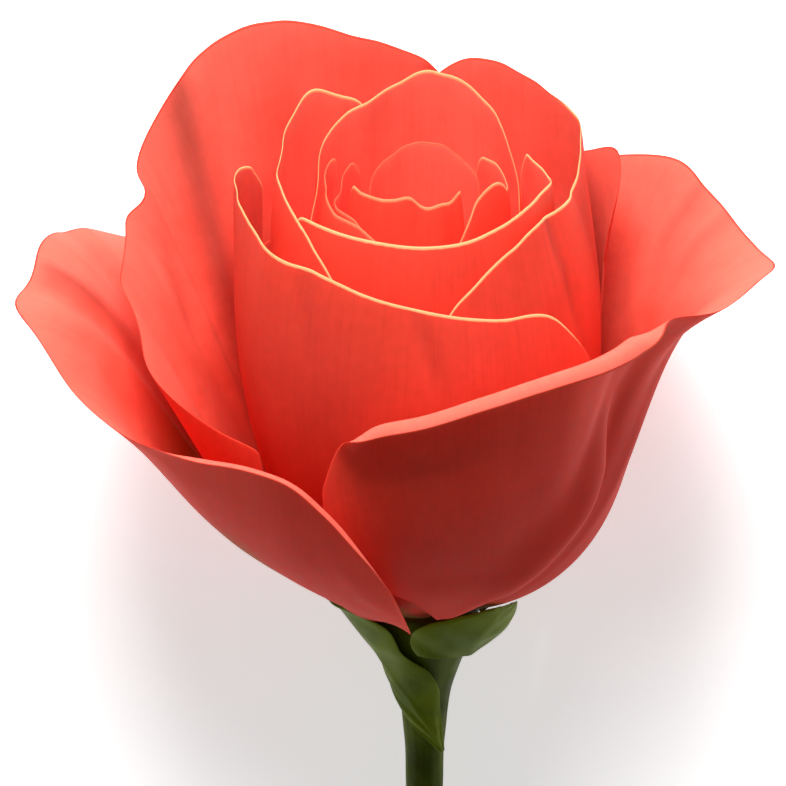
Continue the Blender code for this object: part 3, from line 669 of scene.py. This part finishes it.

# %% [markdown]
# A petal's skin is a red that is deeper low down and brighter near the edge, with fine veins that
# fan out from the claw, a little mottling, and a pale painted highlight along the rim of the bud's
# petals. Painted light and shade make whole petals lighter or darker and darken the creases, and a
# painted glow in the petals' own colour, set for each petal, stands in for light coming through them.
# Painting this would take a texture for each petal. One node group does it for all of them, from
# the coordinates that the sheets carry, and each face gives it its own colours.

# %% Petal skin group
def petal_skin_group():
    """Colour, height and roughness of a petal's face."""
    tree, source, result = new_group(
        "petal_skin",
        [("Claw", "Color"), ("Low", "Color"), ("High", "Color"), ("Rim", "Color"), ("Vein", "Color"),
         ("Rim width", "Float"), ("Vein strength", "Float")],
        [("Color", "Color"), ("Height", "Float"), ("Roughness", "Float"), ("Glow", "Color")])
    coordinates = add(tree, "UVMap", uv_map="UVMap").outputs["UV"]
    place_in_space = add(tree, "TexCoord").outputs["Object"]
    along = add(tree, "Attribute", attribute_name="along").outputs["Fac"]
    edge = add(tree, "Attribute", attribute_name="edge_mm").outputs["Fac"]
    painted_shading = add(tree, "Attribute", attribute_name="painted_shading").outputs["Fac"]
    olive = add(tree, "Attribute", attribute_name="olive").outputs["Fac"]
    rim_highlight = add(tree, "Attribute", attribute_name="rim_highlight").outputs["Fac"]
    painted_crease_shade = add(tree, "Attribute", attribute_name="painted_crease_shade").outputs["Fac"]
    cloud = noise(tree, place_in_space, 160, 3)
    mottle = noise(tree, place_in_space, 900, 4)
    veins = noise(tree, stretched(tree, coordinates, 70, 2.2, 1), 1.0, 3, 0.6, 0.4)
    fine_veins = noise(tree, stretched(tree, coordinates, 190, 6, 1), 1.0, 2, 0.5, 0.2)
    shifted = sums(tree, "ADD", along, sums(tree, "MULTIPLY", sums(tree, "SUBTRACT", cloud, 0.5), 0.35))
    low_to_high = spread(tree, shifted, 0.40, 1.02)
    colour = blend_colours(tree, low_to_high, source.outputs["Low"], source.outputs["High"])
    claw = spread(tree, shifted, 0.02, 0.14, 1.0, 0.0)
    colour = blend_colours(tree, claw, colour, source.outputs["Claw"])
    vein_mask = sums(tree, "MULTIPLY", spread(tree, veins, 0.4, 0.8), source.outputs["Vein strength"])
    colour = blend_colours(tree, vein_mask, colour, source.outputs["Vein"])
    fine_mask = sums(tree, "MULTIPLY", spread(tree, fine_veins, 0.45, 0.75), 0.12)
    colour = blend_colours(tree, fine_mask, colour, source.outputs["Vein"])
    patches = spread(tree, mottle, 0.2, 0.8, 0.88, 0.96)
    # Mottling, scaled by painted light and shade for the whole petal and by painted shade along the creases.
    mottle_and_painted_shade = sums(tree, "ADD", sums(tree, "MULTIPLY", painted_shading, 0.16), patches)
    painted_crease_factor = sums(tree, "SUBTRACT", 1.0, sums(tree, "MULTIPLY", painted_crease_shade, 0.75))
    mottle_and_painted_shade = sums(tree, "MULTIPLY", mottle_and_painted_shade, painted_crease_factor)
    mottle_and_shade_grey = add(tree, "CombineColor")
    feed(tree, mottle_and_shade_grey, Red=mottle_and_painted_shade, Green=mottle_and_painted_shade, Blue=mottle_and_painted_shade)
    colour = blend_colours(tree, 1.0, colour, mottle_and_shade_grey.outputs["Color"], "MULTIPLY")
    colour = blend_colours(tree, olive, colour, srgb(128, 104, 44))
    # A pale painted highlight along the edge, made ragged by the veins.
    ragged = sums(tree, "ADD", edge, sums(tree, "MULTIPLY", sums(tree, "SUBTRACT", veins, 0.5), 0.25))
    rim = spread(tree, sums(tree, "DIVIDE", ragged, source.outputs["Rim width"]), 0.25, 1.0, 1.0, 0.0)
    rim = sums(tree, "MULTIPLY", rim, rim_highlight)
    colour = blend_colours(tree, rim, colour, source.outputs["Rim"])
    # Painted glow: the skin's colour scaled by the petal's own setting, used as emission below.
    painted_glow = add(tree, "Attribute", attribute_name="painted_glow").outputs["Fac"]
    lit = add(tree, "CombineColor")
    feed(tree, lit, Red=painted_glow, Green=painted_glow, Blue=painted_glow)
    painted_glow_colour = blend_colours(tree, 1.0, colour, lit.outputs["Color"], "MULTIPLY")
    papillae = noise(tree, place_in_space, 5200, 2)
    relief = sums(tree, "ADD", sums(tree, "MULTIPLY", veins, 0.5), sums(tree, "MULTIPLY", fine_veins, 0.25))
    relief = sums(tree, "ADD", relief, sums(tree, "MULTIPLY", papillae, 0.12))
    feed(tree, result, Color=colour, Height=relief, Roughness=spread(tree, mottle, 0.2, 0.8, 0.56, 0.70),
         Glow=painted_glow_colour)
    return tree


petal_skin = petal_skin_group()
print("petal skin group has", len(petal_skin.nodes), "nodes")

# %% [markdown]
# The face that looks into the flower is the velvety one, and the outer face is duller and
# darker. Both let some light through: a little subsurface scattering makes the sheets glow
# where light falls on their far side, and an emission in the skin's own colour adds a painted
# glow. A trace of sheen gives the inner face its velvet.

# %% Petal materials
def petal_material(name, claw, low, high, rim, vein, rim_highlight_width, vein_strength, sheen):
    """A finished petal face."""
    material = bpy.data.materials.new(name)
    material.use_nodes = True
    tree = material.node_tree
    shader = tree.nodes["Principled BSDF"]
    skin = add(tree, "Group", -500, 0, node_tree=petal_skin)
    # Rim and Rim width are the colour and width of the painted highlight along the edge.
    feed(tree, skin, Claw=claw, Low=low, High=high, Rim=rim, Vein=vein,
         Rim_width=rim_highlight_width, Vein_strength=vein_strength)
    bump = add(tree, "Bump", -200, -200)
    feed(tree, bump, Strength=0.2, Distance=0.0002, Height=skin.outputs["Height"])
    feed(tree, shader, Base_Color=skin.outputs["Color"], Roughness=skin.outputs["Roughness"],
         Normal=bump.outputs["Normal"])
    feed(tree, shader, Subsurface_Weight=0.25, Subsurface_Scale=0.0005, Subsurface_Radius=(1.0, 0.25, 0.15))
    feed(tree, shader, Sheen_Weight=sheen, Sheen_Roughness=0.45, Sheen_Tint=(1.0, 0.72, 0.62, 1))
    feed(tree, shader, Specular_IOR_Level=0.10)
    # Painted glow: the petal shines by itself in its own colour.
    feed(tree, shader, Emission_Color=skin.outputs["Glow"], Emission_Strength=1.0)
    return material


# The colour of the painted highlight along the petals' edges.
RIM_HIGHLIGHT = srgb(238, 172, 118)
petal_outside = petal_material(
    "petal_outside", claw=srgb(140, 112, 50), low=srgb(212, 52, 36), high=srgb(236, 70, 52), rim=RIM_HIGHLIGHT,
    vein=srgb(190, 36, 28), rim_highlight_width=0.32, vein_strength=0.08, sheen=0.0)
petal_inside = petal_material(
    "petal_inside", claw=srgb(226, 178, 96), low=srgb(214, 54, 38), high=srgb(248, 108, 90), rim=RIM_HIGHLIGHT,
    vein=srgb(232, 66, 52), rim_highlight_width=0.30, vein_strength=0.06, sheen=0.02)
print("petal faces:", petal_outside.name, petal_inside.name)

# %% [markdown]
# Now the petals themselves. Each one stands for the frame's solid of the same name.

# %% Making the petals
PETAL_THICKNESS = 0.30


def olive_share(design, azimuth, along):
    """Outer petals keep some of the bud's green low on their outer face."""
    if design["name"] != "petal_left_outer":
        return np.zeros_like(azimuth)
    return 0.75 * eased((0.62 - along) / 0.3) * eased((azimuth + 95) / 14) * eased((-48 - azimuth) / 14)


def rim_highlight_share(design, columns):
    """How strong the painted highlight on the rim is across the petal."""
    strength, first, last = design["rim_highlight"]
    share = np.linspace(0, 1, columns)[None, :]
    fade = 0.06
    return strength * eased((share - first) / fade + 1) * eased((last - share) / fade + 1)


def make_petals():
    """Every petal as a finished piece."""
    triangles = 0
    for design in PETALS:
        azimuth, r, z = shapes[design["name"]]
        points, painted_crease_shade = creased(to_flower(azimuth, r, z), CREASES.get(design["name"], []))
        along = np.broadcast_to(np.linspace(0, 1, len(r))[:, None] ** ROW_CROWDING, r.shape)
        edge_mm = edge_distance(points)
        attributes = dict(along=along, edge_mm=edge_mm, painted_shading=design["painted_shading"], painted_crease_shade=painted_crease_shade, painted_glow=design["painted_glow"],
                          rim_highlight=rim_highlight_share(design, len(r[0])), olive=olive_share(design, azimuth, along))
        mesh = sheet_mesh(design["name"], points, attributes)
        triangles += len(mesh.polygons) * 16
        faces = [petal_outside, petal_inside]
        piece = place(design["name"] + ".petal", mesh, faces, "petal", [design["name"]])
        thicken(piece, PETAL_THICKNESS, edge_mm)
    return triangles


print("petals made, about", make_petals(), "triangles")

# %% [markdown]
# Under the bloom, the hip and stem grew as one. A lathe shape would look machined, so the section
# has faint ribs, and the lower end is cut on a slant, as a florist cuts it.

# %% Stem and hip
STEM_LENGTH = 50.0
CUT_SLANT = 35.0
STEM_PROFILE = [(0.0, 6.3), (-0.3, 6.3), (-1.6, 6.2), (-3.4, 5.8), (-6.2, 4.8), (-9.2, 3.6), (-12.5, 2.8),
                (-17.0, 2.35), (-22.0, 2.2), (-60.0, 2.2)]
STEM_SIDES = 72
CUT_RINGS = (0.97, 0.9, 0.75, 0.5, 0.25, 0.08)


def stem_points():
    """The outer skin of hip and stem as rings from the top down, then the cut face."""
    azimuth = np.linspace(0, 360, STEM_SIDES, endpoint=False)
    angle = np.radians(azimuth)
    heights = np.concatenate([[0.0, -0.15, -0.4, -0.8], np.linspace(-1.6, -44, 110)])
    profile = np.array(STEM_PROFILE)[::-1]
    radius = np.interp(heights, profile[:, 0], profile[:, 1])
    smooth = np.convolve(np.pad(radius, 6, mode="edge"), np.ones(13) / 13, "valid")
    radius[8:] = smooth[8:]
    ribs = 0.012 * np.cos(5 * angle) + 0.006 * np.cos(13 * angle + 1.0) + 0.004 * np.cos(29 * angle + 2.0)
    rings = [to_flower(azimuth, np.full(STEM_SIDES, r), np.full(STEM_SIDES, 0.0)) for r in (2.0, 4.5)]
    for z, r in zip(heights, radius):
        wander = 0.05 * math.sin(z * 0.31) + 0.03 * math.sin(z * 0.83 + 2)
        rings.append(to_flower(azimuth, r * (1 + ribs) + wander * (z < -3), np.full(STEM_SIDES, z)))
    end = rings[-1][:, :2]
    slant = math.tan(math.radians(CUT_SLANT))
    for drop in np.linspace(0.1, 1.0, 10):
        cut_height = -STEM_LENGTH + slant * end[:, 1]
        rings.append(np.column_stack([end, -44 + (cut_height + 44) * drop]))
    for share in CUT_RINGS:
        flat = end * share
        rings.append(np.column_stack([flat, -STEM_LENGTH + slant * flat[:, 1]]))
    return np.stack(rings)


def ring_mesh(name, rings, cut_rings):
    """A closed tube of quads through rings of points, capped at both ends, with a cut lower face."""
    count, sides = rings.shape[:2]
    bm = bmesh.new()
    rows = [[bm.verts.new(LIE @ Vector(p * MM)) for p in ring] for ring in rings]
    for row, (upper, lower) in enumerate(zip(rows, rows[1:])):
        for i in range(sides):
            j = (i + 1) % sides
            face = bm.faces.new((upper[j], upper[i], lower[i], lower[j]))
            face.material_index = int(row >= count - cut_rings - 1)
    bm.faces.new(rows[0])
    bm.faces.new(rows[-1][::-1]).material_index = 1
    bmesh.ops.recalc_face_normals(bm, faces=bm.faces)
    mesh = bpy.data.meshes.new(name)
    bm.to_mesh(mesh)
    bm.free()
    mesh.shade_smooth()
    return mesh


def stem_skin_group():
    """Colour and height of green bark: long streaks, mottling and pale specks."""
    tree, source, result = new_group(
        "stem_skin", [("Dark", "Color"), ("Light", "Color"), ("Speck", "Color")],
        [("Color", "Color"), ("Height", "Float"), ("Roughness", "Float")])
    place_in_space = add(tree, "TexCoord").outputs["Object"]
    streaks = noise(tree, stretched(tree, place_in_space, 1, 0.08, 1), 2600, 4, 0.6)
    mottle = noise(tree, place_in_space, 420, 3)
    specks = add(tree, "TexVoronoi")
    feed(tree, specks, Vector=stretched(tree, place_in_space, 1, 0.55, 1), Scale=900)
    cloud = noise(tree, place_in_space, 130, 2)
    dark, light = source.outputs["Dark"], source.outputs["Light"]
    colour = blend_colours(tree, spread(tree, cloud, 0.35, 0.65), dark, light)
    colour = blend_colours(tree, spread(tree, streaks, 0.45, 0.75, 0, 0.18), colour, light)
    dots = spread(tree, specks.outputs["Distance"], 0.08, 0.16, 0.22, 0.0)
    colour = blend_colours(tree, dots, colour, source.outputs["Speck"])
    relief = sums(tree, "ADD", sums(tree, "MULTIPLY", streaks, 0.6), sums(tree, "MULTIPLY", mottle, 0.4))
    feed(tree, result, Color=colour, Height=relief, Roughness=spread(tree, mottle, 0.2, 0.8, 0.38, 0.55))
    return tree


stem_skin = stem_skin_group()


def green_material(name, dark, light, speck, bump_strength=0.4):
    """Bark or leaf in two greens."""
    material = bpy.data.materials.new(name)
    material.use_nodes = True
    tree = material.node_tree
    shader = tree.nodes["Principled BSDF"]
    skin = add(tree, "Group", -500, 0, node_tree=stem_skin)
    feed(tree, skin, Dark=dark, Light=light, Speck=speck)
    bump = add(tree, "Bump", -200, -200)
    feed(tree, bump, Strength=bump_strength, Distance=0.0003, Height=skin.outputs["Height"])
    feed(tree, shader, Base_Color=skin.outputs["Color"], Roughness=skin.outputs["Roughness"],
         Normal=bump.outputs["Normal"])
    feed(tree, shader, Specular_IOR_Level=0.08)
    return material


stem_bark = green_material("stem_bark", srgb(58, 70, 4), srgb(86, 102, 10), srgb(110, 118, 30))
stem_cut = green_material("stem_cut", srgb(150, 158, 96), srgb(196, 200, 140), srgb(110, 120, 60))
stem_mesh = ring_mesh("stem_with_hip.skin", stem_points(), len(CUT_RINGS))
stem = place("stem_with_hip.bark", stem_mesh, [stem_bark, stem_cut], "stem", ["stem_with_hip"])
print("stem has", len(stem_mesh.polygons), "faces")

# %% [markdown]
# Five sepals cupped the bud before it opened. A wide one on the left runs down along the stem,
# one cups the bloom on the right, and three narrow ones spread out behind. Each is a sheet
# between two edges, which are read like a petal's rim, with a raised midrib and faint side
# veins. Their two faces differ: green outside, paler and downy inside.

# %% Sepals
SEPAL_THICKNESS = 0.4
SEPAL_WIDTHS = [(0.0, 2.1), (0.25, 2.5), (0.5, 2.4), (0.75, 1.5), (1.0, 0.35)]
SPREAD_PATH = [(6.8, -2.8), (7.7, -2.1), (9.4, -1.3), (11.4, -0.3), (13.4, 1.0), (15.0, 2.4)]
LEFT_SEPAL_LEFT_EDGE = [
    (38, 2.85, -19.0), (6, 2.9, -17.0), (-40, 3.15, -14.5), (-80, 3.6, -12.0), (-110, 4.2, -10.0),
    (-126, 4.9, -8.0), (-130, 5.9, -6.2), (-130, 7.2, -4.6), (-128, 8.6, -3.0), (-124, 9.8, -1.5),
    (-118, 10.7, -0.2), (-110, 11.5, 0.8), (-98, 12.1, 1.5), (-86, 12.4, 1.8)]
LEFT_SEPAL_RIGHT_EDGE = [
    (54, 2.85, -19.0), (46, 2.95, -17.0), (38, 3.15, -14.5), (30, 3.6, -12.2), (24, 4.15, -10.0),
    (14, 4.8, -8.2), (4, 5.35, -6.7), (-14, 6.0, -5.2), (-23, 6.9, -3.8), (-26, 7.8, -2.0),
    (-29, 8.7, -0.3), (-37, 9.6, 0.9), (-49, 10.5, 1.5), (-66, 11.6, 1.8)]
RIGHT_SEPAL_LEFT_EDGE = [
    (-8, 6.9, -3.9), (-13, 7.2, -2.6), (-13, 7.7, -1.2), (-8, 8.4, 0.2), (2, 9.1, 1.3), (16, 9.7, 2.1),
    (34, 10.1, 2.4), (50, 10.5, 2.3)]
RIGHT_SEPAL_RIGHT_EDGE = [
    (104, 6.7, -5.6), (100, 8.4, -4.5), (96, 9.6, -3.4), (92, 10.1, -2.3), (90, 10.5, -1.0), (87, 10.7, -0.1),
    (79, 10.8, 0.7), (67, 10.8, 1.5)]


def spread_edges(middle):
    """The two edges of a narrow sepal that spreads under the bloom."""
    widths = np.interp(np.linspace(0, 1, len(SPREAD_PATH)), *np.array(SEPAL_WIDTHS).T)
    return [[(middle + side * math.degrees(w / r), r, z) for (r, z), w in zip(SPREAD_PATH, widths)]
            for side in (-1, 1)]


SEPALS = {
    "sepal_left": (LEFT_SEPAL_LEFT_EDGE, LEFT_SEPAL_RIGHT_EDGE),
    "sepal_right": (RIGHT_SEPAL_LEFT_EDGE, RIGHT_SEPAL_RIGHT_EDGE),
    "sepal_rear_right": spread_edges(124),
    "sepal_rear": spread_edges(165),
    "sepal_rear_left": spread_edges(206),
}


def sepal_points(first_edge, second_edge):
    """The sepal's middle surface between its two edges, with a raised midrib and side veins."""
    rows, columns = 70, 31
    edges = [smooth_curve(edge, rows) for edge in (first_edge, second_edge)]
    share = np.linspace(0, 1, columns)
    azimuth, r, z = [edges[0][:, i:i + 1] * (1 - share) + edges[1][:, i:i + 1] * share for i in range(3)]
    points = to_flower(azimuth, r, z)
    t = np.linspace(0, 1, rows)[:, None]
    side = 2 * share[None, :] - 1
    rib = 0.18 * np.exp(-(side / 0.10) ** 2) * (1 - t)
    veins = 0.05 * np.cos(26 * (t - 0.35 * np.abs(side))) * np.clip(np.abs(side) * 3, 0, 1)
    return points + outward(points) * (rib + veins)[:, :, None]


sepal_outside = green_material(
    "sepal_outside", srgb(84, 102, 4), srgb(112, 130, 14), srgb(124, 134, 30), bump_strength=0.25)
sepal_inside = green_material(
    "sepal_inside", srgb(82, 96, 40), srgb(130, 142, 74), srgb(150, 158, 100), bump_strength=0.25)


def make_sepals():
    """All five sepals."""
    for name, edges in SEPALS.items():
        points = sepal_points(*edges)
        edge_mm = edge_distance(points)
        mesh = sheet_mesh(name, points, dict(edge_mm=edge_mm))
        piece = place(name + ".leaf", mesh, [sepal_outside, sepal_inside], "sepal", [name])
        thicken(piece, SEPAL_THICKNESS, edge_mm, taper=1.0)
    return len(SEPALS)


print("sepals made:", make_sepals())

# %% [markdown]
# Stamens and pistils are sealed in the bud. The frame's own solids stay, with a pollen-yellow and
# a pale green finish.

# %% Stamens and pistils
pollen = green_material("pollen", srgb(196, 130, 30), srgb(236, 190, 80), srgb(250, 220, 130))
style = green_material("style", srgb(150, 150, 70), srgb(190, 186, 110), srgb(220, 210, 150))
for node, material in (("stamens", pollen), ("pistils", style)):
    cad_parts[node].material_slots[0].material = material
print("inner parts finished")

# %% [markdown]
# The flower lies on a plain, almost white surface, which shines a little itself, as a lit table
# in a studio does. One soft lamp stands high beyond the tip of the bloom. The camera looks down on
# the flower along the line from which the bloom's front is seen 25 degrees from above, with a
# long lens.

# %% Floor, light and camera
VIEW_RISE = 25.0
VIEW_CENTRE = (-3.7, 23.9)
VIEW_WIDTH = 91.2
LENS = 300.0
SENSOR = 36.0


def make_floor():
    """A wide pale floor."""
    bm = bmesh.new()
    bmesh.ops.create_grid(bm, x_segments=2, y_segments=2, size=3.0)
    mesh = bpy.data.meshes.new("floor")
    bm.to_mesh(mesh)
    bm.free()
    floor = bpy.data.objects.new("floor", mesh)
    bpy.context.scene.collection.objects.link(floor)
    material = bpy.data.materials.new("floor_paper")
    material.use_nodes = True
    tree = material.node_tree
    shader = tree.nodes["Principled BSDF"]
    feed(tree, shader, Base_Color=(0.93, 0.93, 0.93, 1), Roughness=0.9, Specular_IOR_Level=0.1,
         Emission_Color=(1, 1, 1, 1), Emission_Strength=0.55)
    mesh.materials.append(material)


def make_light(name, size, power, place_from, aim):
    """A soft square lamp that looks at a point."""
    lamp = bpy.data.lights.new(name, "AREA")
    lamp.shape = "SQUARE"
    lamp.size = size
    lamp.energy = power
    holder = bpy.data.objects.new(name, lamp)
    bpy.context.scene.collection.objects.link(holder)
    holder.location = place_from
    holder.rotation_mode = "QUATERNION"
    holder.rotation_quaternion = (Vector(aim) - Vector(place_from)).to_track_quat("-Z", "Y")


def make_camera():
    """The camera, at the photograph's angle to the bloom."""
    tilt = math.radians(VIEW_RISE - AXIS_RISE)
    right = Vector((-1, 0, 0))
    up = Vector((0, -math.cos(tilt), -math.sin(tilt)))
    back = Vector((0, -math.sin(tilt), math.cos(tilt)))
    centre = Vector(HIP_PLACE) * MM + right * VIEW_CENTRE[0] * MM + up * VIEW_CENTRE[1] * MM
    data = bpy.data.cameras.new("camera")
    data.lens = LENS
    data.sensor_width = SENSOR
    data.clip_start, data.clip_end = 0.01, 20
    camera = bpy.data.objects.new("camera", data)
    bpy.context.scene.collection.objects.link(camera)
    distance = VIEW_WIDTH * MM * LENS / SENSOR
    turn = Matrix((right, up, back)).transposed().to_4x4()
    camera.matrix_world = Matrix.Translation(centre + back * distance) @ turn
    bpy.context.scene.camera = camera
    return distance


make_floor()
make_light("key", 0.45, 15.0, (0.06, -0.78, 0.58), (0, 0, 0.03))
world = bpy.data.worlds.new("pale_room")
world.use_nodes = True
world.node_tree.nodes["Background"].inputs["Color"].default_value = (1.0, 1.0, 1.0, 1)
world.node_tree.nodes["Background"].inputs["Strength"].default_value = 0.16
bpy.context.scene.world = world
bpy.context.scene.view_settings.view_transform = "Standard"
print("camera stands", round(make_camera(), 3), "m away")
